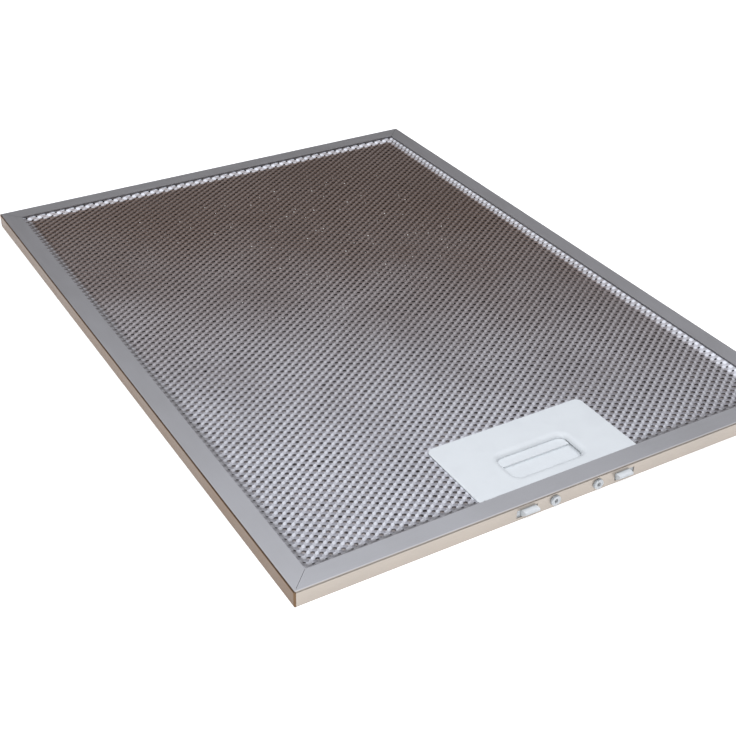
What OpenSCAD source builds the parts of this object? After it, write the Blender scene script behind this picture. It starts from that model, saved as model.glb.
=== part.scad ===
// Metal mesh grease filter for a cooker hood, with a sprung latch handle.
// X runs along the handle side, Y away from it and Z up to the side that faces the room.

/* [Frame] */
// Width of the frame along the handle side
frame_w = 270; // [240:1:330]
// Depth of the frame, away from the handle
frame_d = 366; // [320:1:420]
// Height of the frame
frame_h = 8; // [7.6:0.1:10]
// Width of the flanges, from the outside of the frame
flange_w = 10; // [9:0.1:12]
// Thickness of the frame's sheet
sheet_t = 0.6; // [0.4:0.05:0.8]
// Outer radius of the folds along the frame's edges
fold_r = 0.9; // [0.85:0.05:1.2]
// Outer radius of the frame's upright corners
corner_r = 1; // [0.6:0.1:1.2]
// Width of the slit where two flanges meet at a corner
mitre_gap = 0.15; // [0.1:0.05:0.4]

/* [Mesh] */
// Depth of each mesh field under its flange's outer face
screen_drop = 2; // [1.9:0.05:2.2]
// Thickness of the outer screens
screen_t = 0.8; // [0.6:0.05:0.9]
// Width of the sloping band between flange and mesh field
slope_w = 4.2; // [3:0.1:6]
// Width of the screens' strands
strand_w = 4.6; // [3.5:0.1:6]
// Width of the raised bead along each strand
bead_w = 1.8; // [1.2:0.1:2.6]
// Height of the raised bead
bead_h = 0.3; // [0.2:0.05:0.4]
// Half cells across the mesh
half_cells_x = 11; // [9:2:11]
// Half cells along the mesh
half_cells_y = 22; // [18:2:22]
// Width of the inner layers' strands
foil_strand_w = 3.2; // [2.4:0.1:4.5]

/* [Handle] */
// Width of the handle's visible plate
plate_w = 84.4; // [80:0.2:90]
// Distance from the frame's front face to the plate's back edge
plate_reach = 53.1; // [50:0.1:58]
// Thickness of the plate's rim that lies on the mesh
plate_t = 0.6; // [0.4:0.05:0.8]
// Width of the softened edge round the plate
plate_soft = 0.3; // [0.15:0.05:0.35]
// Radius of the plate's back corners
plate_r = 3.5; // [2:0.1:5]
// How far the plate's rim overlaps the mesh
plate_lap = 3; // [2:0.1:4]
// Wall of the handle's mouldings
wall_t = 1.2; // [0.9:0.05:1.4]
// Thickness of the deck over the slider
deck_t = 1; // [0.9:0.05:1.2]
// Width of the finger recess at the plate's face
recess_w = 43; // [38:0.2:46]
// Depth of the finger recess along Y
recess_d = 22.3; // [20:0.1:24]
// Distance from the frame's front face to the recess
recess_front = 15; // [14.5:0.1:17]
// Radius of the recess's corners at the plate's face
recess_r = 6.7; // [5:0.1:8]
// Width of the rounded rim round the recess
recess_rim = 3; // [2:0.1:3.6]
// Depth of the rounded rim
recess_depth = 2; // [1.6:0.05:2.1]

/* [Latch] */
// Distance from the middle to each latch lug
lug_x = 25; // [23:0.2:26]
// Width of a latch lug
lug_w = 7.4; // [6:0.1:8]
// Height of the bevel under a latch lug's nose
lug_bevel = 1.6; // [1:0.1:1.8]
// How far the lugs stand out of the frame
lug_out = 2.8; // [2:0.1:3.2]
// Travel of the slider
travel = 3.5; // [3.3:0.1:4]
// Distance from the middle to each snap peg
peg_x = 11.4; // [9:0.2:14]
// Diameter of a snap peg
peg_d = 4.8; // [4:0.1:5]
// How far the snap pegs stand out of the frame
peg_out = 0.9; // [0.5:0.1:1.4]
// Wire of the latch springs
wire_d = 0.5; // [0.4:0.05:0.6]
// Outer diameter of the latch springs
spring_d = 3; // [2.6:0.1:3]
// Turns of a latch spring
spring_turns = 8; // [6:1:10]

/* [Clearances] */
// Clearance between pieces that slide or pass through each other
clear = 0.2; // [0.15:0.01:0.25]
// Clearance round the mesh and the handle where they sit in the frame
seat_clear = 0.3; // [0.2:0.05:0.4]

/* [Hidden] */
$fn = 48;
eps = 0.01;
layer_count = 6;

// The origin is the middle of the outline with the lugs, so the frame lies half a lug further back
y_front = -(frame_d + lug_out) / 2 + lug_out;
y_mid = y_front + frame_d / 2;

// Levels
flange_under = frame_h - sheet_t;
field_top = frame_h - screen_drop;
field_under = field_top - screen_t;
pack_under = frame_h - field_under;
layer_t = (field_under - pack_under) / layer_count;
base_top = frame_h - field_top;
plate_top = field_top + plate_t;
deck_under = plate_top - deck_t;
mid_z = frame_h / 2;

// Mesh field inside the sloping band
rim_w = flange_w + slope_w;
field_w = frame_w - 2 * rim_w;
field_d = frame_d - 2 * rim_w;
sheet_clear = sheet_t + seat_clear;

// Handle outline, measured from the front face
plate_y0 = y_front + sheet_t + clear;
plate_y1 = y_front + plate_reach;
tray_w = plate_w - 2 * plate_lap - 2 * seat_clear;
tray_y1 = plate_y1 - plate_lap - seat_clear;
cavity_w = tray_w - 2 * wall_t;
cavity_y0 = plate_y0 + wall_t;
cavity_y1 = tray_y1 - wall_t;
recess_y0 = y_front + recess_front;
recess_mid = recess_y0 + recess_d / 2;
collar_under = plate_top - recess_depth;
collar_wall = 0.5;

// Pads that bear on the flange from inside
bear_gap = 0.1;
bear_h = flange_under - plate_top - bear_gap;
bear_w = plate_w - 2 * plate_lap;
bear_y1 = y_front + flange_w - 2;

// Slider: a pad in the recess's floor, a ledge to pull on, two lugs and two ears for the springs
slider_z0 = base_top + clear;
slider_top = deck_under - clear;
slider_y0 = cavity_y0 + clear;
slider_tail = 2.3;
slider_y1 = recess_y0 + recess_d + slider_tail;
pad_t = 1.2;
pad_top = slider_z0 + pad_t;
ledge_top = collar_under - clear;
ledge_y = recess_mid + 2.6;
ledge_w = recess_w - 2 * recess_rim - 3 * clear;
ledge_r = 2;
lug_z0 = slider_z0 + 0.1;
lug_h = slider_top - lug_z0;
lug_arm = 7.5;
lug_tip = y_front - lug_out;
lug_soft = 0.4;
ear_t = 4;
ear_y1 = slider_y0 + lug_arm + 2.2;

// The lugs' holes in the frame are wider than the lugs, mostly on their outer side
lug_hole_w = lug_w + 3.2;
lug_hole_x = lug_x + 1;

// Guides on the base, one each side of a spring
rail_t = 1;
rail_x = lug_x + lug_w / 2 - lug_soft;
rail_y0 = ear_y1 + travel + clear;
rail_h = deck_under - clear - base_top;
slider_w = 2 * (rail_x - clear);
spring_x = rail_x + rail_t + spring_d / 2 + clear;
ear_w = spring_x + spring_d / 2 + clear;
seat_t = 1.2;
seat_y = cavity_y1 - 9.5;
end_gap = 0.05;
spring_len = seat_y - ear_y1 - 2 * end_gap;
spring_z = (base_top + deck_under) / 2;

// Bosses that take the base's pins
boss_d = 3.2;
pin_d = 1.5;
pin_len = 2.4;
boss_inset = boss_d / 2 + clear;
boss_x = cavity_w / 2 - boss_inset;
boss_y = [cavity_y0 + boss_inset, cavity_y1 - boss_inset];

// Small hole in each peg's end
peg_hole_d = 2;
peg_hole_depth = 1.4;

function half_cell_x() = field_w / half_cells_x;
function half_cell_y() = field_d / half_cells_y;
// Share of a cell that is open when its strands are w wide
function open_share(w) =
    1 - w * norm([half_cell_x(), half_cell_y()]) / (2 * half_cell_x() * half_cell_y());

// A rectangle with round corners, its middle at the origin
module round_rect(w, d, r) {
    square([w - 2 * r, d], center = true);
    square([w, d - 2 * r], center = true);
    for (x = [-1, 1], y = [-1, 1])
        translate([x * (w / 2 - r), y * (d / 2 - r)]) circle(r);
}

// A rectangle with its two back corners round, from y0 to y1
module tab_outline(w, y0, y1, r) {
    translate([-w / 2, y0]) square([w, y1 - y0 - r]);
    translate([-w / 2 + r, y1 - 2 * r]) square([w - 2 * r, 2 * r]);
    for (x = [-1, 1])
        translate([x * (w / 2 - r), y1 - r]) circle(r);
}

// The section of a side, given as u inwards and z up, carried round the frame with mitred corners
module mitred_ring(w, d, reach) {
    for (turn = [0, 1, 2, 3]) {
        across = turn % 2 == 0 ? d : w;
        along = turn % 2 == 0 ? w : d;
        translate([0, y_mid, 0])
            rotate(turn * 90)
                intersection() {
                    translate([-along / 2, -across / 2, 0])
                        rotate([90, 0, 90])
                            linear_extrude(along) children();
                    translate([0, -across / 2, -eps])
                        linear_extrude(frame_h + 2 * eps)
                            polygon([
                                [-along / 2, 0], [along / 2, 0],
                                [along / 2 - reach, reach], [-along / 2 + reach, reach]
                            ]);
                }
    }
}

// Section of the folded frame: a U that opens inwards
module channel_section() {
    inner_r = fold_r - sheet_t;
    difference() {
        union() {
            translate([fold_r, 0]) square([flange_w - fold_r, frame_h]);
            translate([0, fold_r]) square([fold_r + eps, frame_h - 2 * fold_r]);
            for (z = [fold_r, frame_h - fold_r])
                translate([fold_r, z]) circle(fold_r);
        }
        translate([fold_r, sheet_t]) square([flange_w, frame_h - 2 * sheet_t]);
        translate([sheet_t, fold_r]) square([flange_w, frame_h - 2 * fold_r]);
        for (z = [fold_r, frame_h - fold_r])
            translate([fold_r, z]) circle(inner_r);
    }
}

// A slit through one flange at each corner, open at the flange's inner edge
module mitre_slits() {
    slit = (flange_w - 1.6) * sqrt(2);
    for (x = [-1, 1], y = [-1, 1])
        translate([x * (frame_w / 2 - flange_w - 0.2), y_mid + y * (frame_d / 2 - flange_w - 0.2), -eps])
            rotate(atan2(y, x))
                translate([0, -mitre_gap / 2, 0])
                    cube([slit, mitre_gap, frame_h + 2 * eps]);
}

module frame() {
    color("silver")
    difference() {
        intersection() {
            mitred_ring(frame_w, frame_d, flange_w) channel_section();
            translate([0, y_mid, 0])
                linear_extrude(frame_h) round_rect(frame_w, frame_d, corner_r);
        }
        mitre_slits();
        for (side = [-1, 1]) {
            translate([side * lug_hole_x - lug_hole_w / 2, y_front - 1, lug_z0 - 2 * clear])
                cube([lug_hole_w, sheet_t + 2, lug_h + 4 * clear]);
            translate([side * peg_x, y_front - 1, mid_z])
                rotate([-90, 0, 0]) cylinder(d = peg_d + clear, h = sheet_t + 2);
        }
    }
}

// Staggered diamonds that fill the mesh field, clear of the handle's plate
module diamonds(w, shift_x, shift_y) {
    share = open_share(w);
    hx = half_cell_x();
    hy = half_cell_y();
    for (i = [1 : half_cells_x - 1], j = [1 : half_cells_y - 1])
        if ((i + j) % 2 == 0) {
            x = -field_w / 2 + i * hx + shift_x;
            y = y_mid - field_d / 2 + j * hy + shift_y;
            near_plate = abs(x) < plate_w / 2 + hx && y < plate_y1 + hy;
            inside = abs(x) + hx * share < field_w / 2 && abs(y - y_mid) + hy * share < field_d / 2;
            if (!near_plate && inside)
                translate([x, y])
                    polygon([[-hx * share, 0], [0, -hy * share], [hx * share, 0], [0, hy * share]]);
        }
}

// The room that the handle needs in a mesh sheet
module handle_notch() {
    notch_w = plate_w - 2 * plate_lap;
    translate([-notch_w / 2, y_front - 1]) square([notch_w, plate_reach - plate_lap + 1]);
    rim_notch = plate_w + 2 * seat_clear;
    translate([-rim_notch / 2, y_front - 1]) square([rim_notch, rim_w + 1]);
}

// Section of a screen's edge: flat under the flange, then down to the mesh field
module screen_edge() {
    edge_t = 0.5;
    polygon([
        [sheet_clear, flange_under], [flange_w, flange_under], [rim_w, field_top],
        [rim_w, field_under], [rim_w - 1, field_under],
        [flange_w - 0.4, flange_under - edge_t], [sheet_clear, flange_under - edge_t]
    ]);
}

// One expanded metal screen, as it lies on the room side
module screen() {
    difference() {
        union() {
            mitred_ring(frame_w, frame_d, rim_w) screen_edge();
            translate([0, 0, field_under])
                linear_extrude(screen_t - bead_h)
                    difference() {
                        translate([0, y_mid]) square([field_w + eps, field_d + eps], center = true);
                        diamonds(strand_w, 0, 0);
                    }
            translate([0, 0, field_top - bead_h - eps])
                linear_extrude(bead_h + eps)
                    difference() {
                        translate([0, y_mid]) square([field_w + eps, field_d + eps], center = true);
                        diamonds(bead_w, 0, 0);
                    }
        }
        translate([0, 0, -eps]) linear_extrude(frame_h + 2 * eps) handle_notch();
    }
}

module top_screen() {
    color("rosybrown") screen();
}

module bottom_screen() {
    color("rosybrown")
        translate([0, 0, frame_h]) mirror([0, 0, 1]) screen();
}

// One foil layer. Its cells are moved sideways from layer to layer, so the openings don't line up
module filter_layer(number) {
    step_x = half_cell_x() * (number % 3) / 3;
    step_y = half_cell_y() * (number % 2) / 2;
    color("lightgray")
    translate([0, 0, pack_under + (number - 1) * layer_t])
        linear_extrude(layer_t)
            difference() {
                translate([0, y_mid])
                    round_rect(frame_w - 2 * sheet_clear, frame_d - 2 * sheet_clear, corner_r);
                diamonds(foil_strand_w, step_x, step_y);
                handle_notch();
            }
}

// Half section of the finger recess: the rim rolls over from the plate's face to a steep wall.
// half is the distance from the middle to the rim's outer edge.
module recess_section(half) {
    steps = 6;
    inner = half - recess_rim;
    polygon(concat(
        [[0, plate_top + 1], [0, collar_under - 1], [inner, collar_under - 1]],
        [for (i = [0 : steps])
            let (a = 90 * i / steps)
                [inner + recess_rim * (1 - cos(a)), collar_under + recess_depth * sin(a)]],
        [[half, plate_top + 1]]
    ));
}

// The finger recess as a cutting shape: two crossing prisms and a revolved corner at each end
module recess_cut() {
    core_w = recess_w - 2 * recess_r;
    core_d = recess_d - 2 * recess_r;
    translate([0, recess_mid, 0]) {
        for (side = [0, 1]) mirror([side, 0, 0])
            translate([0, core_d / 2, 0]) rotate([90, 0, 0])
                linear_extrude(core_d) recess_section(recess_w / 2);
        for (side = [0, 1]) mirror([0, side, 0])
            translate([-core_w / 2, 0, 0]) rotate([90, 0, 90])
                linear_extrude(core_w) recess_section(recess_d / 2);
        for (x = [-1, 1], y = [-1, 1])
            translate([x * core_w / 2, y * core_d / 2, 0])
                rotate_extrude() recess_section(recess_r);
    }
}

// The plate that lies on the mesh, face up from z = 0, with a pad that bears on the flange
module rim_plate() {
    hull() {
        linear_extrude(plate_t - plate_soft) tab_outline(plate_w, plate_y0, plate_y1, plate_r);
        linear_extrude(plate_t)
            tab_outline(plate_w - 2 * plate_soft, plate_y0, plate_y1 - plate_soft, plate_r - plate_soft);
    }
    translate([-bear_w / 2, plate_y0, plate_t - eps])
        cube([bear_w, bear_y1 - plate_y0, bear_h + eps]);
}

module handle_body() {
    color("whitesmoke")
    difference() {
        union() {
            translate([0, 0, field_top]) rim_plate();
            difference() {
                translate([-tray_w / 2, plate_y0, base_top])
                    cube([tray_w, tray_y1 - plate_y0, plate_top - base_top - plate_t / 2]);
                translate([-cavity_w / 2, cavity_y0, base_top - 1])
                    cube([cavity_w, cavity_y1 - cavity_y0, deck_under - base_top + 1]);
            }
            translate([0, recess_mid, collar_under])
                linear_extrude(deck_under - collar_under + eps)
                    round_rect(recess_w - 2 * collar_wall, recess_d - 2 * collar_wall, recess_r - collar_wall);
            for (x = [-1, 1], y = boss_y)
                translate([x * boss_x, y, base_top]) cylinder(d = boss_d, h = deck_under - base_top + eps);
            for (x = [-1, 1])
                translate([x * peg_x, y_front - peg_out, mid_z])
                    rotate([-90, 0, 0]) cylinder(d = peg_d, h = plate_y0 - y_front + peg_out + eps);
        }
        recess_cut();
        for (x = [-1, 1]) {
            translate([x * lug_x - lug_w / 2 - clear, plate_y0 - 1, lug_z0 - clear])
                cube([lug_w + 2 * clear, wall_t + 2, lug_h + 2 * clear]);
            translate([x * peg_x, y_front - peg_out - eps, mid_z])
                rotate([-90, 0, 0]) cylinder(d = peg_hole_d, h = peg_hole_depth);
            for (y = boss_y)
                translate([x * boss_x, y, base_top - eps])
                    cylinder(d = pin_d + clear, h = pin_len + clear);
        }
    }
}

module handle_base() {
    color("whitesmoke") {
        difference() {
            translate([0, 0, base_top]) mirror([0, 0, 1]) rim_plate();
            // Room for the pegs, which reach lower than the tray
            for (x = [-1, 1])
                translate([x * peg_x, plate_y0 - eps, mid_z])
                    rotate([-90, 0, 0]) cylinder(d = peg_d + 2 * clear, h = wall_t);
        }
        for (side = [0, 1]) mirror([side, 0, 0]) {
            // Guides beside the spring, and the wall behind it
            for (x = [rail_x, ear_w + clear])
                translate([x, rail_y0, base_top - eps])
                    cube([rail_t, seat_y + seat_t - rail_y0, rail_h + eps]);
            translate([rail_x, seat_y, base_top - eps])
                cube([ear_w + clear - rail_x + eps, seat_t, rail_h + eps]);
            for (y = boss_y)
                translate([boss_x, y, base_top - eps]) cylinder(d = pin_d, h = pin_len + eps);
        }
    }
}

// Section of a latch lug, as y and z: level on the room side, bevelled on the hood side
module lug_section() {
    arm_end = slider_y0 + lug_arm;
    nose_z = lug_z0 + lug_bevel;
    polygon([
        [slider_y0, lug_z0], [y_front - lug_soft, lug_z0],
        [lug_tip + lug_soft, nose_z], [lug_tip, nose_z + lug_soft],
        [lug_tip, slider_top - lug_soft], [lug_tip + lug_soft, slider_top],
        [arm_end, slider_top], [arm_end, slider_z0], [slider_y0, slider_z0]
    ]);
}

module latch_slider() {
    color("whitesmoke") {
        // Pad in the floor of the recess
        translate([-slider_w / 2, slider_y0, slider_z0])
            cube([slider_w, slider_y1 - slider_y0, pad_t]);
        // Ledge that the finger pulls on
        translate([0, 0, pad_top - eps])
            linear_extrude(ledge_top - pad_top + eps)
                tab_outline(ledge_w, ledge_y, slider_y1, ledge_r);
        for (side = [0, 1]) mirror([side, 0, 0]) {
            translate([lug_x - lug_w / 2, 0, 0])
                rotate([90, 0, 90]) linear_extrude(lug_w) lug_section();
            // Ear that the spring pushes on
            translate([slider_w / 2 - eps, ear_y1 - ear_t, slider_z0])
                cube([ear_w - slider_w / 2 + eps, ear_t, slider_top - slider_z0]);
        }
    }
}

// Points of a round wire's section at an angle round the coil, for a coil along Y
function wire_ring(turn, length) =
    let (
        r = (spring_d - wire_d) / 2,
        a = 360 * turn,
        rise = wire_d / 2 + (length - wire_d) * turn / spring_turns
    )
    [for (k = [0 : 5])
        let (b = 60 * k, q = r + wire_d / 2 * cos(b))
            [q * cos(a), rise + wire_d / 2 * sin(b), q * sin(a)]];

// A coil spring along Y, swept ring by ring
module coil_spring(length) {
    per_turn = 12;
    rings = spring_turns * per_turn;
    points = [for (i = [0 : rings]) each wire_ring(i / per_turn, length)];
    sides = [for (i = [0 : rings - 1], k = [0 : 5])
        let (n = (k + 1) % 6, a = i * 6, b = a + 6)
            each [[a + k, b + n, a + n], [a + k, b + k, b + n]]];
    ends = [[0, 1, 2, 3, 4, 5], [for (k = [0 : 5]) rings * 6 + 5 - k]];
    polyhedron(points, concat(sides, ends), convexity = 10);
}

module latch_spring(side) {
    color("lightslategray")
        translate([side * spring_x, ear_y1 + end_gap, spring_z]) coil_spring(spring_len);
}

frame();
top_screen();
bottom_screen();
filter_layer(1);  // filter_layer_1
filter_layer(2);  // filter_layer_2
filter_layer(3);  // filter_layer_3
filter_layer(4);  // filter_layer_4
filter_layer(5);  // filter_layer_5
filter_layer(6);  // filter_layer_6
handle_body();
handle_base();
latch_slider();
latch_spring(-1);  // latch_spring_left
latch_spring(1);  // latch_spring_right
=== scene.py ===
"""Builds the looks of a cooker hood mesh grease filter round its CAD frame. Lengths are in metres."""

import math

import bmesh
import bpy
import numpy as np
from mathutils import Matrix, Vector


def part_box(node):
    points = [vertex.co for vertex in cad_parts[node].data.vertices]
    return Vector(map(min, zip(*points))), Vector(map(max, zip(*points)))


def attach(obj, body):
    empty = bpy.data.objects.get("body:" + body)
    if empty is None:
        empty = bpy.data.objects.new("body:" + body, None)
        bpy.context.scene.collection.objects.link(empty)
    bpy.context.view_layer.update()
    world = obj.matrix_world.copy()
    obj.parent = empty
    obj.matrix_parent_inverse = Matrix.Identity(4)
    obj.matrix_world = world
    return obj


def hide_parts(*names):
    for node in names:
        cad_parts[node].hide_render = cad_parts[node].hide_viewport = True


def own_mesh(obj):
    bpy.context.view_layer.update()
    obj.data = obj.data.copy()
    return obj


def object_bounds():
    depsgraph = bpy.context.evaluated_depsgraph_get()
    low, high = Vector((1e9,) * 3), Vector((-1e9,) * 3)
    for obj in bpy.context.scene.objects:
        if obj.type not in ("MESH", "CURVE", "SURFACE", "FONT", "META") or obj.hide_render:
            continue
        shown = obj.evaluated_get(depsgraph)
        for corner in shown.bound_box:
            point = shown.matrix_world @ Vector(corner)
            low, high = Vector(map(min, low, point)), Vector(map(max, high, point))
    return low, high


bl_info = {
    "name": "Mesh Grease Filter",
    "version": (1, 0, 0),
    "blender": (4, 5, 0),
    "location": "View3D > Sidebar > Grease Filter",
    "description": "Builds a hood's mesh grease filter: expanded metal, handle, springs and finishes",
    "category": "Add Mesh",
}

MM = 0.001
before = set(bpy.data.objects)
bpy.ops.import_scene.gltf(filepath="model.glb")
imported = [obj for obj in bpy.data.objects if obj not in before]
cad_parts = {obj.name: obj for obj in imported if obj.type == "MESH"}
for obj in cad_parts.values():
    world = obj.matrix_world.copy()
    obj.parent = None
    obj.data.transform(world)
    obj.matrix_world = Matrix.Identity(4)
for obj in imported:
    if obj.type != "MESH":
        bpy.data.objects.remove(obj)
CAD_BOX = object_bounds()
FRAME_LOW, FRAME_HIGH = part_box("frame")
FRAME_Y = (FRAME_LOW.y + FRAME_HIGH.y) / 2
PLATE_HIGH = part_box("handle_base")[1]

# How far the painted reflection and shade on the frame's outer walls reach in, and the meshes' edges lie
# inside the frame's outside
WALL_DEPTH = 0.8 * MM
SCREEN_MARGIN = 8.6 * MM
LAYER_MARGIN = 2 * MM
# How far the screens reach under the handle's plate
NOTCH_LAP = 3 * MM
# The open field's top over the screen's underside, and the clearance kept below a solid's top
FIELD_RISE = 0.78 * MM
SKIN = 0.02 * MM


class MeshSettings(bpy.types.PropertyGroup):
    """Sizes of the expanded metal."""

    cell_x: bpy.props.FloatProperty(
        name="Cell across", description="Long way of a cell", default=5.84 * MM, unit="LENGTH"
    )
    cell_y: bpy.props.FloatProperty(
        name="Cell along", description="Short way of a cell", default=4.0 * MM, unit="LENGTH"
    )
    opening: bpy.props.FloatProperty(
        name="Opening", description="Size of an opening as a share of its cell",
        default=0.5, subtype="FACTOR",
    )
    lean: bpy.props.FloatProperty(
        name="Lean", description="How much lower a strand's front edge lies",
        default=0.34 * MM, unit="LENGTH",
    )
    crown: bpy.props.FloatProperty(
        name="Crown", description="Height of a strand's middle over its edges",
        default=0.12 * MM, unit="LENGTH",
    )
    flange: bpy.props.FloatProperty(
        name="Flange", description="Width of the frame's flange", default=10 * MM, unit="LENGTH"
    )
    slope: bpy.props.FloatProperty(
        name="Slope", description="Width of the sloping band inside the flange",
        default=4.2 * MM, unit="LENGTH",
    )
    foil_cell_x: bpy.props.FloatProperty(
        name="Foil cell across", description="Short way of a filter layer's cell",
        default=4.6 * MM, unit="LENGTH",
    )
    foil_cell_y: bpy.props.FloatProperty(
        name="Foil cell along", description="Long way of a filter layer's cell",
        default=6.8 * MM, unit="LENGTH",
    )


class HandleSettings(bpy.types.PropertyGroup):
    """Sizes of the handle's and springs' finish."""

    edge: bpy.props.FloatProperty(
        name="Edge", description="Radius of the slider's moulded edges", default=0.25 * MM, unit="LENGTH"
    )
    wire: bpy.props.FloatProperty(
        name="Wire", description="Diameter of the springs' wire", default=0.5 * MM, unit="LENGTH"
    )
    turns: bpy.props.FloatProperty(
        name="Turns", description="Turns of a spring", default=8
    )


class FinishSettings(bpy.types.PropertyGroup):
    """Colours of the finishes."""

    sheet: bpy.props.FloatVectorProperty(
        name="Sheet", description="Rolled aluminium of the frame", subtype="COLOR", size=4,
        default=(0.54, 0.54, 0.56, 1),
    )
    # Painted warm reflection on the outer walls at the short sides.
    end_wall_painted_reflection: bpy.props.FloatVectorProperty(
        name="End wall", description="Warmer tone on the outer walls at the short sides", subtype="COLOR",
        size=4, default=(0.45, 0.4, 0.35, 1),
    )
    # Painted shade and warm reflection on the outer walls along the long sides.
    long_wall_painted_shade: bpy.props.FloatVectorProperty(
        name="Long wall", description="Brown film on the outer walls along the long sides", subtype="COLOR",
        size=4, default=(0.16, 0.095, 0.05, 1),
    )
    # Painted highlight: the lit colour of the strands' crests.
    strand: bpy.props.FloatVectorProperty(
        name="Strand", description="Bare metal on the strands", subtype="COLOR", size=4,
        default=(0.84, 0.85, 0.9, 1),
    )
    # Painted shade towards the back on the strands' crests.
    back_shade: bpy.props.FloatVectorProperty(
        name="Greasy", description="Strands under the film at the back", subtype="COLOR", size=4,
        default=(0.36, 0.3, 0.28, 1),
    )
    # Painted shade on the mesh's low parts at the front.
    shade: bpy.props.FloatVectorProperty(
        name="Shade", description="Low parts of the mesh where it is clean", subtype="COLOR", size=4,
        default=(0.36, 0.355, 0.385, 1),
    )
    # Painted shade on the mesh's low parts at the back, darker and browner.
    painted_shade: bpy.props.FloatVectorProperty(
        name="Film", description="Brown film low in the mesh at the back", subtype="COLOR", size=4,
        default=(0.13, 0.085, 0.065, 1),
    )
    foil: bpy.props.FloatVectorProperty(
        name="Foil", description="Dull filter layers", subtype="COLOR", size=4,
        default=(0.5, 0.45, 0.44, 1),
    )
    plastic: bpy.props.FloatVectorProperty(
        name="Plastic", description="White plastic of the handle", subtype="COLOR", size=4,
        default=(0.72, 0.75, 0.77, 1),
    )
    spring: bpy.props.FloatVectorProperty(
        name="Spring", description="Spring steel wire", subtype="COLOR", size=4,
        default=(0.42, 0.43, 0.45, 1),
    )


class StageSettings(bpy.types.PropertyGroup):
    """Camera, lamp and surroundings."""

    camera_place: bpy.props.FloatVectorProperty(
        name="Camera place", description="Where the camera stands", subtype="TRANSLATION", size=3,
        default=(-0.2998, -0.50528, 0.34468),
    )
    camera_turn: bpy.props.FloatVectorProperty(
        name="Camera turn", description="Camera's rotation", subtype="EULER", size=3,
        default=(math.radians(57.0214), math.radians(-0.9192), math.radians(-30.5207)),
    )
    lens: bpy.props.FloatProperty(
        name="Lens", description="Focal length on a 36 mm sensor, in millimetres", default=63.28
    )
    key_place: bpy.props.FloatVectorProperty(
        name="Key place", description="Where the soft key lamp hangs", subtype="TRANSLATION", size=3,
        default=(-0.34, -0.45, 0.48),
    )
    key_power: bpy.props.FloatProperty(
        name="Key power", description="Power of the key lamp, in watts", default=1.9
    )
    key_size: bpy.props.FloatProperty(
        name="Key size", description="Width of the key lamp", default=0.5, unit="LENGTH"
    )
    floor_size: bpy.props.FloatProperty(
        name="Floor size", description="Width of the floor", default=12, unit="LENGTH"
    )


# Meshes


def add_piece(name, verts, faces, material, body="filter"):
    """A mesh object at the origin with smooth faces, riding on a body. verts is an array, faces a list."""
    mesh = bpy.data.meshes.new(name)
    mesh.from_pydata(verts.tolist(), [], faces)
    mesh.polygons.foreach_set("use_smooth", np.ones(len(mesh.polygons), bool))
    mesh.update()
    piece = bpy.data.objects.new(name, mesh)
    bpy.context.scene.collection.objects.link(piece)
    piece.data.materials.append(material)
    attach(piece, body)
    return piece


def inset(x, y):
    """How far a point lies inside the frame's outer edge, along the shorter way."""
    return np.minimum(FRAME_HIGH.x - np.abs(x), FRAME_HIGH.y - FRAME_Y - np.abs(y - FRAME_Y))


def smooth_step(value, low, high):
    """0 below low, 1 above high and an even S between them."""
    t = np.clip((value - low) / (high - low), 0, 1)
    return t * t * (3 - 2 * t)


def clear_of_handle(points, side, back):
    """Moves points that lie in the handle's notch to the notch's nearest edge."""
    x, y = points[..., 0], points[..., 1]
    inside = (np.abs(x) < side) & (y < back)
    to_side = side - np.abs(x)
    to_back = back - y
    go_side = inside & (to_side <= to_back)
    go_back = inside & (to_side > to_back)
    points[..., 0] = np.where(go_side, np.sign(x) * side, x)
    points[..., 1] = np.where(go_back, back, y)
    return points


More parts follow.
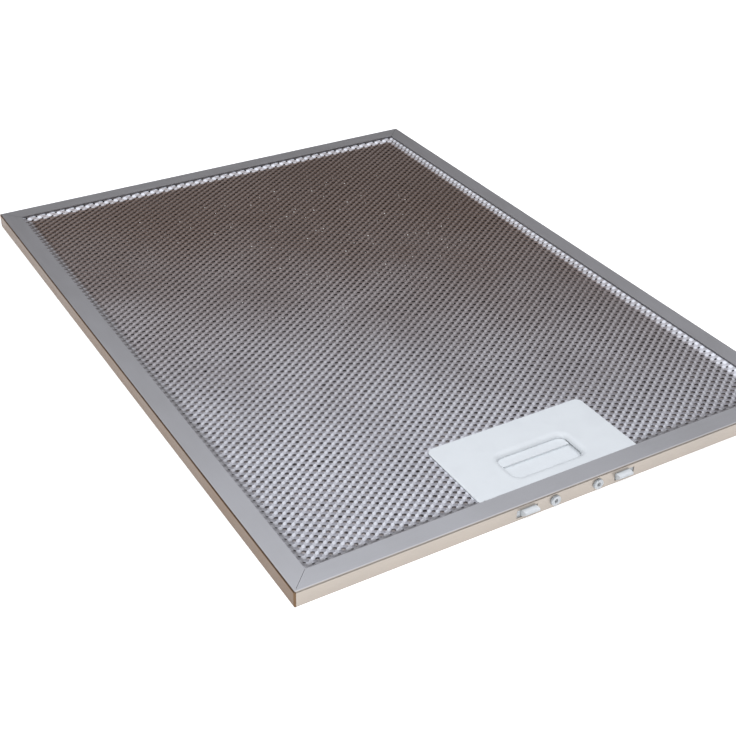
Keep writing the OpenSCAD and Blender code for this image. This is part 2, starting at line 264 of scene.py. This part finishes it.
def expanded_metal(cell_x, cell_y, margin, opening, lean, crown, level, seed, turned=False):
    """Expanded metal as one closed mesh.

    The cells are the hexagons round the points of a staggered grid. Each cell has a hexagonal opening,
    its corners drawn in from the cell's own. Top and bottom skins run from the cell's edge, which is the
    strand's middle line, to the opening's edge, so that a strand has the section of a flat lens. It is
    twisted: its back edge lies on the level and its front edge lower by the lean. level gives, for each
    place, the highest that a strand reaches, and opening the openings' share there.
    """
    long_way, short_way = (cell_y, cell_x) if turned else (cell_x, cell_y)
    edge = long_way / 4 - short_way**2 / (4 * long_way)
    half = long_way / 2 - edge
    corners = np.array([
        [half, 0], [edge, short_way / 2], [-edge, short_way / 2],
        [-half, 0], [-edge, -short_way / 2], [edge, -short_way / 2],
    ])
    if turned:
        corners = corners[:, ::-1][::-1]

    half_w = FRAME_HIGH.x - margin
    half_d = FRAME_HIGH.y - FRAME_Y - margin
    columns = np.arange(-int(half_w / cell_x * 2), int(half_w / cell_x * 2) + 1)
    rows = np.arange(-int(half_d / cell_y * 2), int(half_d / cell_y * 2) + 1)
    i, j = np.meshgrid(columns, rows)
    chosen = (i + j) % 2 == 0
    centres = np.stack([i[chosen] * cell_x / 2, FRAME_Y + j[chosen] * cell_y / 2], 1)

    side = PLATE_HIGH.x - NOTCH_LAP
    back = PLATE_HIGH.y - NOTCH_LAP
    in_notch = (np.abs(centres[:, 0]) < side) & (centres[:, 1] < back)
    centres = centres[~in_notch]
    count = len(centres)

    outer = centres[:, None] + corners[None]
    keys = np.round(outer.reshape(-1, 2) / (cell_x / 16)).astype(int)
    _, first, index, shared = np.unique(
        keys, axis=0, return_index=True, return_inverse=True, return_counts=True
    )
    index = index.reshape(count, 6)
    rim = outer.reshape(-1, 2)[first]
    rim[:, 0] = np.clip(rim[:, 0], -half_w, half_w)
    rim[:, 1] = np.clip(rim[:, 1], FRAME_Y - half_d, FRAME_Y + half_d)
    rim = clear_of_handle(rim, side, back)

    rng = np.random.default_rng(seed)
    share = opening(centres[:, 0], centres[:, 1])[:, None, None]
    share = share * (1 + rng.normal(0, 0.05, (count, 1, 1)))
    drift = rng.normal(0, 0.05 * MM, (count, 1, 2))
    ring = rim[index] * share + centres[:, None] * (1 - share) + drift
    upright = corners[:, 0 if turned else 1] / (short_way / 2)
    tilt = lean * (1 - 0.8 * smooth_step(-share, -0.4, -0.2))
    rise = -tilt[..., 0] * (upright[None] + 1) / 2
    rise = rise + rng.normal(0, 0.02 * MM, (count, 6))

    rim_top = level(rim[:, 0], rim[:, 1]) - lean / 2 + crown
    rim_thick = np.where(shared == 3, 2 * crown, 0)
    ring_z = level(ring[..., 0], ring[..., 1]) + rise
    verts = np.concatenate([
        np.column_stack([rim, rim_top]),
        np.column_stack([rim, rim_top - rim_thick]),
        np.column_stack([ring.reshape(-1, 2), ring_z.reshape(-1)]),
    ])

    here = np.arange(6)
    following = (here + 1) % 6
    ring_index = 2 * len(rim) + np.arange(count * 6).reshape(count, 6)
    top = np.stack([index[:, here], index[:, following], ring_index[:, following], ring_index[:, here]], 2)
    under = top[:, :, ::-1].copy()
    under[under < len(rim)] += len(rim)
    faces = np.concatenate([top.reshape(-1, 4), under.reshape(-1, 4)])
    strand = np.tile([-1, 0, 1, -1, 0, 1], 2 * count)
    return verts, faces, len(rim), strand


def sharpen_openings(piece, rim_count):
    """Marks the openings' edges sharp, so that the strands' two skins shade apart."""
    edges = np.zeros(len(piece.data.edges) * 2, int)
    piece.data.edges.foreach_get("vertices", edges)
    on_ring = (edges.reshape(-1, 2) >= 2 * rim_count).all(1)
    piece.data.attributes.new("sharp_edge", "BOOLEAN", "EDGE").data.foreach_set("value", on_ring)


def add_press_and_strand(piece, pressed, strand):
    """Stores how far the mesh is pressed flat at each vertex and which way each strand runs.

    A strand is 1 where it runs back to the right, -1 where it runs back to the left and 0 at a bond.
    """
    co = np.zeros(len(piece.data.vertices) * 3)
    piece.data.vertices.foreach_get("co", co)
    x, y = co.reshape(-1, 3)[:, 0], co.reshape(-1, 3)[:, 1]
    values = pressed(x, y).astype(np.float32)
    piece.data.attributes.new("pressed", "FLOAT", "POINT").data.foreach_set("value", values)
    ways = strand.astype(np.float32)
    piece.data.attributes.new("strand", "FLOAT", "FACE").data.foreach_set("value", ways)


def coil(centre_x, centre_z, start, end, radius, wire, turns):
    """A coil spring along Y as a closed tube: a circle carried round a helix."""
    around, per_turn = 10, 28
    t = np.linspace(0, 1, int(turns * per_turn) + 1)[:, None]
    a = 2 * math.pi * np.arange(around)[None] / around
    angle = 2 * math.pi * turns * t
    reach = radius - wire / 2 + wire / 2 * np.cos(a)
    length = end - start - wire
    y = start + wire / 2 + length * t + wire / 2 * np.sin(a)
    verts = np.stack([centre_x + reach * np.cos(angle), y, centre_z + reach * np.sin(angle)], 2)
    rings = len(t)
    base = np.arange(rings - 1)[:, None] * around
    k = np.arange(around)[None]
    n = (k + 1) % around
    sides = np.stack([base + k, base + around + k, base + around + n, base + n], 2).reshape(-1, 4)
    caps = [list(range(around)), [(rings - 1) * around + c for c in range(around)][::-1]]
    return verts.reshape(-1, 3), sides.tolist() + caps


def merged_copy(node, name, material, body):
    """A copy of a CAD node with its loose triangles merged into flat faces, to be finished by modifiers."""
    solid = bmesh.new()
    solid.from_mesh(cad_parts[node].data)
    bmesh.ops.remove_doubles(solid, verts=solid.verts, dist=0.002 * MM)
    bmesh.ops.dissolve_limit(solid, angle_limit=math.radians(0.6), verts=solid.verts, edges=solid.edges)
    mesh = bpy.data.meshes.new(name)
    solid.to_mesh(mesh)
    solid.free()
    mesh.materials.clear()
    mesh.materials.append(material)
    mesh.polygons.foreach_set("use_smooth", np.ones(len(mesh.polygons), bool))
    mesh.set_sharp_from_angle(angle=math.radians(50))
    piece = bpy.data.objects.new(name, mesh)
    bpy.context.scene.collection.objects.link(piece)
    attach(piece, body)
    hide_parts(node)
    return piece


# Finishes


def new_group(name, inputs, outputs):
    """An empty shader node group with its sockets. Each entry is a name, a socket type and a default."""
    group = bpy.data.node_groups.new(name, "ShaderNodeTree")
    for in_out, entries in (("INPUT", inputs), ("OUTPUT", outputs)):
        for label, kind, default in entries:
            socket = group.interface.new_socket(name=label, in_out=in_out, socket_type=kind)
            if default is not None:
                socket.default_value = default
    return group, group.nodes.new("NodeGroupInput"), group.nodes.new("NodeGroupOutput")


def math_node(tree, operation, first, second=None, clamp=False):
    """A Math node fed by sockets or plain numbers. Returns its output socket."""
    node = tree.nodes.new("ShaderNodeMath")
    node.operation = operation
    node.use_clamp = clamp
    for socket, value in zip(node.inputs, (first, second)):
        if isinstance(value, bpy.types.NodeSocket):
            tree.links.new(value, socket)
        elif value is not None:
            socket.default_value = value
    return node.outputs[0]


def mix_colour(tree, factor, first, second, blend="MIX"):
    """A Mix node for colours, fed by sockets or plain values. Returns its output socket."""
    node = tree.nodes.new("ShaderNodeMix")
    node.data_type = "RGBA"
    node.blend_type = blend
    for socket, value in ((node.inputs[0], factor), (node.inputs[6], first), (node.inputs[7], second)):
        if isinstance(value, bpy.types.NodeSocket):
            tree.links.new(value, socket)
        else:
            socket.default_value = value
    return node.outputs[2]


def ramp(tree, value, low, high):
    """A Map Range node from low..high to 0..1, clamped. Returns its output socket."""
    node = tree.nodes.new("ShaderNodeMapRange")
    node.interpolation_type = "SMOOTHSTEP"
    tree.links.new(value, node.inputs["Value"])
    node.inputs["From Min"].default_value = low
    node.inputs["From Max"].default_value = high
    return node.outputs["Result"]


def noise(tree, vector, scale, detail=3.0, roughness=0.55):
    """A Noise Texture on a vector socket. Returns its factor socket."""
    node = tree.nodes.new("ShaderNodeTexNoise")
    tree.links.new(vector, node.inputs["Vector"])
    node.inputs["Scale"].default_value = scale
    node.inputs["Detail"].default_value = detail
    node.inputs["Roughness"].default_value = roughness
    return node.outputs["Fac"]


def stretched(tree, vector, factors):
    """The vector multiplied by three factors, so that a pattern on it is drawn out. Returns its socket."""
    node = tree.nodes.new("ShaderNodeVectorMath")
    node.operation = "MULTIPLY"
    tree.links.new(vector, node.inputs[0])
    node.inputs[1].default_value = factors
    return node.outputs[0]


def handled_surface_group():
    """Smudges and fine unevenness from handling, shared by the metals and the plastic."""
    group, entry, leave = new_group(
        "handled_surface",
        [("Vector", "NodeSocketVector", None), ("Smudge scale", "NodeSocketFloat", 40.0),
         ("Fine scale", "NodeSocketFloat", 900.0)],
        [("Smudge", "NodeSocketFloat", None), ("Fine", "NodeSocketFloat", None)],
    )
    smudge = group.nodes.new("ShaderNodeTexNoise")
    smudge.inputs["Detail"].default_value = 4
    fine = group.nodes.new("ShaderNodeTexNoise")
    fine.inputs["Detail"].default_value = 2
    for node, scale in ((smudge, "Smudge scale"), (fine, "Fine scale")):
        group.links.new(entry.outputs["Vector"], node.inputs["Vector"])
        group.links.new(entry.outputs[scale], node.inputs["Scale"])
    group.links.new(ramp(group, smudge.outputs["Fac"], 0.35, 0.7), leave.inputs["Smudge"])
    group.links.new(fine.outputs["Fac"], leave.inputs["Fine"])
    return group


def new_finish(name, roughness, metallic):
    """A material with Principled shader and Object coordinates. Returns material, tree, shader, vector."""
    material = bpy.data.materials.new(name)
    material.use_nodes = True
    tree = material.node_tree
    shader = tree.nodes["Principled BSDF"]
    shader.inputs["Roughness"].default_value = roughness
    shader.inputs["Metallic"].default_value = metallic
    vector = tree.nodes.new("ShaderNodeTexCoord").outputs["Object"]
    return material, tree, shader, vector


def handled(tree, vector, smudge_scale, fine_scale):
    """Places the shared smudge group in a material. Returns its smudge and fine sockets."""
    node = tree.nodes.new("ShaderNodeGroup")
    node.node_tree = bpy.data.node_groups.get("handled_surface") or handled_surface_group()
    tree.links.new(vector, node.inputs["Vector"])
    node.inputs["Smudge scale"].default_value = smudge_scale
    node.inputs["Fine scale"].default_value = fine_scale
    return node.outputs["Smudge"], node.outputs["Fine"]


def add_bump(tree, shader, height, distance, strength):
    """Bump from a height socket into the shader's normal."""
    node = tree.nodes.new("ShaderNodeBump")
    node.inputs["Distance"].default_value = distance
    node.inputs["Strength"].default_value = strength
    tree.links.new(height, node.inputs["Height"])
    tree.links.new(node.outputs["Normal"], shader.inputs["Normal"])


def sheet_finish(colours):
    """Rolled aluminium: grain along each side of the frame, smudges, and painted warm reflection and shade
    on the outer walls.
    """
    material, tree, shader, vector = new_finish("rolled_aluminium", 0.36, 0.88)
    split = tree.nodes.new("ShaderNodeSeparateXYZ")
    tree.links.new(vector, split.inputs[0])
    from_middle = math_node(tree, "ABSOLUTE", math_node(tree, "SUBTRACT", split.outputs["Y"], FRAME_Y))
    in_y = math_node(tree, "SUBTRACT", FRAME_HIGH.y - FRAME_Y, from_middle)
    in_x = math_node(tree, "SUBTRACT", FRAME_HIGH.x, math_node(tree, "ABSOLUTE", split.outputs["X"]))
    on_long_side = math_node(tree, "LESS_THAN", in_x, in_y)
    on_long_wall = math_node(tree, "LESS_THAN", in_x, WALL_DEPTH)
    across = noise(tree, stretched(tree, vector, (1, 30, 30)), 60)
    along = noise(tree, stretched(tree, vector, (30, 1, 30)), 60)
    mixed = tree.nodes.new("ShaderNodeMix")
    for label, value in (("Factor", on_long_side), ("A", across), ("B", along)):
        tree.links.new(value, mixed.inputs[label])
    grain = mixed.outputs["Result"]
    smudge, fine = handled(tree, vector, 30, 1200)
    # Painted warm reflection on the end walls, and painted shade with warm reflection on the long walls,
    # over the outer wall faces.
    depth = ramp(tree, math_node(tree, "MINIMUM", in_x, in_y), 0.3 * MM, WALL_DEPTH)
    wall = math_node(tree, "SUBTRACT", 1.0, depth)
    painted_wall_light = mix_colour(tree, on_long_wall, tuple(colours.end_wall_painted_reflection), tuple(colours.long_wall_painted_shade))
    colour = mix_colour(tree, wall, tuple(colours.sheet), painted_wall_light)
    dark = math_node(tree, "MULTIPLY", smudge, 0.12)
    colour = mix_colour(tree, dark, colour, (0.3, 0.29, 0.28, 1))
    tree.links.new(colour, shader.inputs["Base Color"])
    rough = math_node(tree, "ADD", math_node(tree, "MULTIPLY", grain, 0.16), 0.26)
    tree.links.new(rough, shader.inputs["Roughness"])
    height = math_node(tree, "ADD", grain, math_node(tree, "MULTIPLY", fine, 0.5))
    add_bump(tree, shader, height, 0.02 * MM, 0.5)
    return material


def mesh_finish(colours, crest, depth):
    """Expanded aluminium with painted light: a painted highlight on the strands' crests, painted shade
    lower down, and darker, browner painted shade towards the back.
    """
    material, tree, shader, vector = new_finish("expanded_aluminium", 0.34, 0.85)
    split = tree.nodes.new("ShaderNodeSeparateXYZ")
    tree.links.new(vector, split.inputs[0])
    height = math_node(tree, "ABSOLUTE", math_node(tree, "SUBTRACT", split.outputs["Z"], FRAME_HIGH.z / 2))
    # Painted highlight and shade: high parts take the lit strand colour, low parts the painted shade
    # colours.
    high = ramp(tree, height, crest - depth, crest)
    pressed = tree.nodes.new("ShaderNodeAttribute")
    pressed.attribute_name = "pressed"
    strand = tree.nodes.new("ShaderNodeAttribute")
    strand.attribute_name = "strand"
    # Painted highlight strongest on strands that run back to the right, less on bonds, least on strands
    # that run back to the left; lighter where the mesh is pressed flat.
    crest_highlight = math_node(tree, "MULTIPLY", high, ramp(tree, strand.outputs["Fac"], -1.3, 1.1))
    crest_highlight = math_node(tree, "MAXIMUM", crest_highlight, math_node(tree, "MULTIPLY", pressed.outputs["Fac"], 0.4))
    smudge, fine = handled(tree, vector, 22, 1500)
    patchy_highlight = math_node(tree, "SUBTRACT", crest_highlight, math_node(tree, "MULTIPLY", smudge, 0.1), clamp=True)
    # Painted shade that darkens the mesh towards the back and right, except where it is pressed flat.
    away = math_node(tree, "ADD", split.outputs["Y"], math_node(tree, "MULTIPLY", split.outputs["X"], 0.5))
    away = math_node(tree, "ADD", away, math_node(tree, "MULTIPLY", smudge, 0.02))
    back_shade = ramp(tree, away, -0.19, 0.13)
    not_pressed = math_node(tree, "SUBTRACT", 1.0, pressed.outputs["Fac"])
    open_back_shade = math_node(tree, "MULTIPLY", back_shade, not_pressed)
    low = mix_colour(tree, back_shade, tuple(colours.shade), tuple(colours.painted_shade))
    crest_highlight_colour = mix_colour(tree, open_back_shade, tuple(colours.strand), tuple(colours.back_shade))
    colour = mix_colour(tree, patchy_highlight, low, crest_highlight_colour)
    tree.links.new(colour, shader.inputs["Base Color"])
    rough = math_node(tree, "ADD", math_node(tree, "MULTIPLY", smudge, 0.06), 0.32)
    tree.links.new(rough, shader.inputs["Roughness"])
    add_bump(tree, shader, fine, 0.02 * MM, 0.6)
    return material


def foil_finish(colours):
    """Dull crimped foil of the filter layers."""
    material, tree, shader, vector = new_finish("filter_foil", 0.45, 0.85)
    smudge, fine = handled(tree, vector, 60, 1400)
    darker = tuple(c * 0.5 for c in colours.foil[:3]) + (1,)
    colour = mix_colour(tree, smudge, tuple(colours.foil), darker)
    tree.links.new(colour, shader.inputs["Base Color"])
    add_bump(tree, shader, fine, 0.05 * MM, 0.8)
    return material


def plastic_finish(colours):
    """White moulded plastic with a fine mould texture and a little handling dirt."""
    material, tree, shader, vector = new_finish("white_plastic", 0.38, 0.0)
    smudge, fine = handled(tree, vector, 90, 2600)
    dirt = math_node(tree, "MULTIPLY", smudge, 0.1)
    colour = mix_colour(tree, dirt, tuple(colours.plastic), (0.5, 0.51, 0.53, 1))
    tree.links.new(colour, shader.inputs["Base Color"])
    rough = math_node(tree, "ADD", math_node(tree, "MULTIPLY", fine, 0.14), 0.32)
    tree.links.new(rough, shader.inputs["Roughness"])
    add_bump(tree, shader, fine, 0.015 * MM, 0.4)
    return material


def spring_finish(colours):
    """Drawn spring wire."""
    material, tree, shader, vector = new_finish("spring_wire", 0.3, 0.95)
    smudge, fine = handled(tree, vector, 300, 4000)
    stain = math_node(tree, "MULTIPLY", smudge, 0.3)
    colour = mix_colour(tree, stain, tuple(colours.spring), (0.2, 0.19, 0.18, 1))
    tree.links.new(colour, shader.inputs["Base Color"])
    add_bump(tree, shader, fine, 0.01 * MM, 0.4)
    return material


def floor_finish():
    """Pale floor that shows white round the object, keeps its shadow and is clear from below."""
    material, tree, shader, _ = new_finish("pale_floor", 0.9, 0.0)
    shader.inputs["Base Color"].default_value = (0.86, 0.86, 0.86, 1)
    rays = tree.nodes.new("ShaderNodeLightPath")
    seen = math_node(tree, "MAXIMUM", rays.outputs["Is Camera Ray"], rays.outputs["Is Glossy Ray"])
    seen = math_node(tree, "MAXIMUM", seen, rays.outputs["Is Transmission Ray"])
    shader.inputs["Emission Color"].default_value = (1, 1, 1, 1)
    tree.links.new(math_node(tree, "MULTIPLY", seen, 0.62), shader.inputs["Emission Strength"])
    clear = tree.nodes.new("ShaderNodeBsdfTransparent")
    two_sided = tree.nodes.new("ShaderNodeMixShader")
    tree.links.new(tree.nodes.new("ShaderNodeNewGeometry").outputs["Backfacing"], two_sided.inputs[0])
    tree.links.new(shader.outputs[0], two_sided.inputs[1])
    tree.links.new(clear.outputs[0], two_sided.inputs[2])
    tree.links.new(two_sided.outputs[0], tree.nodes["Material Output"].inputs["Surface"])
    return material


# Operators


class GREASEFILTER_OT_screens(bpy.types.Operator):
    """Makes the two outer screens of expanded metal."""

    bl_idname = "grease_filter.screens"
    bl_label = "Make Screens"

    def execute(self, context):
        sizes = context.scene.filter_mesh
        top_low, top_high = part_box("top_screen")
        band_end = sizes.flange + sizes.slope

        def pressed(x, y):
            band = 1 - smooth_step(inset(x, y), band_end - 1.6 * MM, band_end + 0.6 * MM)
            beside = np.maximum(np.abs(x) - PLATE_HIGH.x, y - PLATE_HIGH.y)
            return np.maximum(band, 0.5 * (1 - smooth_step(beside, 0.8 * MM, 2.2 * MM)))

        def opening(x, y):
            return sizes.opening * (1 - 0.35 * pressed(x, y))

        field = top_low.z + FIELD_RISE
        fall = top_high.z - SKIN - field

        def level(x, y):
            band = 1 - smooth_step(inset(x, y), sizes.flange - 1.2 * MM, band_end + 0.2 * MM)
            wave = 0.05 * MM * np.sin(x * 61 + 1.3) * np.sin(y * 47 + 0.4)
            return field - 0.06 * MM + wave * (1 - band) + fall * band

        verts, faces, rim, strand = expanded_metal(
            sizes.cell_x, sizes.cell_y, SCREEN_MARGIN, opening, sizes.lean, sizes.crown, level, seed=3
        )
        half = FRAME_HIGH.z / 2
        finish = mesh_finish(context.scene.filter_finish, field - half, 0.62 * MM)
        upper = add_piece("screen_mesh_top", verts, faces.tolist(), finish)
        flipped = verts * (1, 1, -1) + (0, 0, FRAME_HIGH.z)
        lower = add_piece("screen_mesh_bottom", flipped, faces[:, ::-1].tolist(), finish)
        for piece, node in ((upper, "top_screen"), (lower, "bottom_screen")):
            sharpen_openings(piece, rim)
            add_press_and_strand(piece, pressed, strand)
            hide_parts(node)
        return {"FINISHED"}


class GREASEFILTER_OT_filter_layers(bpy.types.Operator):
    """Makes the outermost filter layers of foil mesh and finishes the ones between them."""

    bl_idname = "grease_filter.filter_layers"
    bl_label = "Make Filter Layers"

    def execute(self, context):
        sizes = context.scene.filter_mesh
        finish = foil_finish(context.scene.filter_finish)
        names = sorted(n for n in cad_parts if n.startswith("filter_layer"))
        for node in names:
            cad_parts[node].data.materials.clear()
            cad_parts[node].data.materials.append(finish)
        for node, seed in ((names[-1], 11), (names[0], 12)):
            layer_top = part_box(node)[1].z

            def level(x, y, top=layer_top - SKIN):
                return np.full(np.shape(x), top)

            verts, faces, rim, _ = expanded_metal(
                sizes.foil_cell_x, sizes.foil_cell_y, LAYER_MARGIN, lambda x, y: np.full(np.shape(x), 0.33),
                0.2 * MM, 0.07 * MM, level, seed, turned=True,
            )
            piece = add_piece("foil_" + node, verts, faces.tolist(), finish)
            sharpen_openings(piece, rim)
            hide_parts(node)
        return {"FINISHED"}


class GREASEFILTER_OT_handle(bpy.types.Operator):
    """Makes the handle's mouldings and its slider with softened edges."""

    bl_idname = "grease_filter.handle"
    bl_label = "Make Handle"

    def execute(self, context):
        finish = plastic_finish(context.scene.filter_finish)
        shell = merged_copy("handle_body", "handle_shell", finish, "filter")
        cover = merged_copy("handle_base", "handle_cover", finish, "filter")
        slider = merged_copy("latch_slider", "latch_slide_piece", finish, "latch")
        soften = slider.modifiers.new("soft_edges", "BEVEL")
        soften.width = context.scene.filter_handle.edge
        soften.segments = 3
        soften.angle_limit = math.radians(40)
        for piece in (shell, cover, slider):
            piece.modifiers.new("flat_faces", "WEIGHTED_NORMAL").keep_sharp = True
        return {"FINISHED"}


class GREASEFILTER_OT_springs(bpy.types.Operator):
    """Makes the two latch springs as round wire."""

    bl_idname = "grease_filter.springs"
    bl_label = "Make Springs"

    def execute(self, context):
        sizes = context.scene.filter_handle
        finish = spring_finish(context.scene.filter_finish)
        for node in ("latch_spring_left", "latch_spring_right"):
            low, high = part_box(node)
            middle = (low + high) / 2
            radius = (high.z - low.z) / 2
            verts, faces = coil(middle.x, middle.z, low.y, high.y, radius, sizes.wire, sizes.turns)
            piece = add_piece("coil_" + node, verts, faces, finish)
            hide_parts(node)
            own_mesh(piece)
        return {"FINISHED"}


class GREASEFILTER_OT_frame(bpy.types.Operator):
    """Gives the folded frame its rolled aluminium finish, with painted reflection and shade on its outer
    walls.
    """

    bl_idname = "grease_filter.frame"
    bl_label = "Finish Frame"

    def execute(self, context):
        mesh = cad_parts["frame"].data
        mesh.materials.clear()
        mesh.materials.append(sheet_finish(context.scene.filter_finish))
        return {"FINISHED"}


class GREASEFILTER_OT_stage(bpy.types.Operator):
    """Makes the floor, the lamp, the surroundings and the camera."""

    bl_idname = "grease_filter.stage"
    bl_label = "Make Stage"

    def execute(self, context):
        stage = context.scene.filter_stage
        half = stage.floor_size / 2
        mesh = bpy.data.meshes.new("floor")
        corners = [(-half, -half, 0), (half, -half, 0), (half, half, 0), (-half, half, 0)]
        mesh.from_pydata(corners, [], [(0, 1, 2, 3)])
        mesh.materials.append(floor_finish())
        floor = bpy.data.objects.new("floor", mesh)
        floor.location.z = -SKIN
        context.scene.collection.objects.link(floor)

        key = bpy.data.lights.new("key_lamp", "AREA")
        key.size = stage.key_size
        key.energy = stage.key_power
        key.color = (0.96, 0.98, 1.0)
        lamp = bpy.data.objects.new("key_lamp", key)
        lamp.location = stage.key_place
        aim = CAD_BOX[0].lerp(CAD_BOX[1], 0.5) - lamp.location
        lamp.rotation_euler = aim.to_track_quat("-Z", "Y").to_euler()
        context.scene.collection.objects.link(lamp)

        world = bpy.data.worlds.new("soft_studio")
        context.scene.world = world
        world.use_nodes = True
        tree = world.node_tree
        sky = tree.nodes["Background"]
        direction = tree.nodes.new("ShaderNodeTexCoord").outputs["Generated"]
        split = tree.nodes.new("ShaderNodeSeparateXYZ")
        tree.links.new(direction, split.inputs[0])
        rise = ramp(tree, split.outputs["Z"], 0.42, 0.8)
        colour = mix_colour(tree, rise, (0.08, 0.064, 0.054, 1), (1.22, 1.25, 1.32, 1))
        rays = tree.nodes.new("ShaderNodeLightPath")
        glossy, through = rays.outputs["Is Glossy Ray"], rays.outputs["Is Transmission Ray"]
        low = math_node(tree, "SUBTRACT", 1.0, ramp(tree, split.outputs["Z"], 0.0, 0.08))
        mirrored = math_node(tree, "MULTIPLY", math_node(tree, "MAXIMUM", glossy, through), low)
        seen = math_node(tree, "MAXIMUM", rays.outputs["Is Camera Ray"], mirrored)
        tree.links.new(mix_colour(tree, seen, colour, (1, 1, 1, 1)), sky.inputs["Color"])

        camera = bpy.data.cameras.new("camera")
        camera.lens = stage.lens
        camera.sensor_width = 36
        camera.clip_start = 0.01
        viewer = bpy.data.objects.new("camera", camera)
        viewer.location = stage.camera_place
        viewer.rotation_euler = stage.camera_turn
        context.scene.collection.objects.link(viewer)
        context.scene.camera = viewer
        context.scene.view_settings.view_transform = "Standard"
        return {"FINISHED"}


class GREASEFILTER_PT_panel(bpy.types.Panel):
    """Lists the steps in the 3D view's sidebar."""

    bl_label = "Grease Filter"
    bl_idname = "GREASEFILTER_PT_panel"
    bl_space_type = "VIEW_3D"
    bl_region_type = "UI"
    bl_category = "Grease Filter"

    def draw(self, context):
        for operator in OPERATORS:
            self.layout.operator(operator.bl_idname)


OPERATORS = (
    GREASEFILTER_OT_frame,
    GREASEFILTER_OT_screens,
    GREASEFILTER_OT_filter_layers,
    GREASEFILTER_OT_handle,
    GREASEFILTER_OT_springs,
    GREASEFILTER_OT_stage,
)
SETTINGS = {
    "filter_mesh": MeshSettings,
    "filter_handle": HandleSettings,
    "filter_finish": FinishSettings,
    "filter_stage": StageSettings,
}


def register():
    """Registers the settings, the operators and the panel."""
    for name, group in SETTINGS.items():
        bpy.utils.register_class(group)
        setattr(bpy.types.Scene, name, bpy.props.PointerProperty(type=group))
    for operator in OPERATORS:
        bpy.utils.register_class(operator)
    bpy.utils.register_class(GREASEFILTER_PT_panel)


def unregister():
    """Takes the panel, the operators and the settings out again."""
    bpy.utils.unregister_class(GREASEFILTER_PT_panel)
    for operator in reversed(OPERATORS):
        bpy.utils.unregister_class(operator)
    for name, group in SETTINGS.items():
        delattr(bpy.types.Scene, name)
        bpy.utils.unregister_class(group)


def main():
    register()
    bpy.ops.grease_filter.frame()
    bpy.ops.grease_filter.screens()
    bpy.ops.grease_filter.filter_layers()
    bpy.ops.grease_filter.handle()
    bpy.ops.grease_filter.springs()
    bpy.ops.grease_filter.stage()


if __name__ == "__main__":
    main()
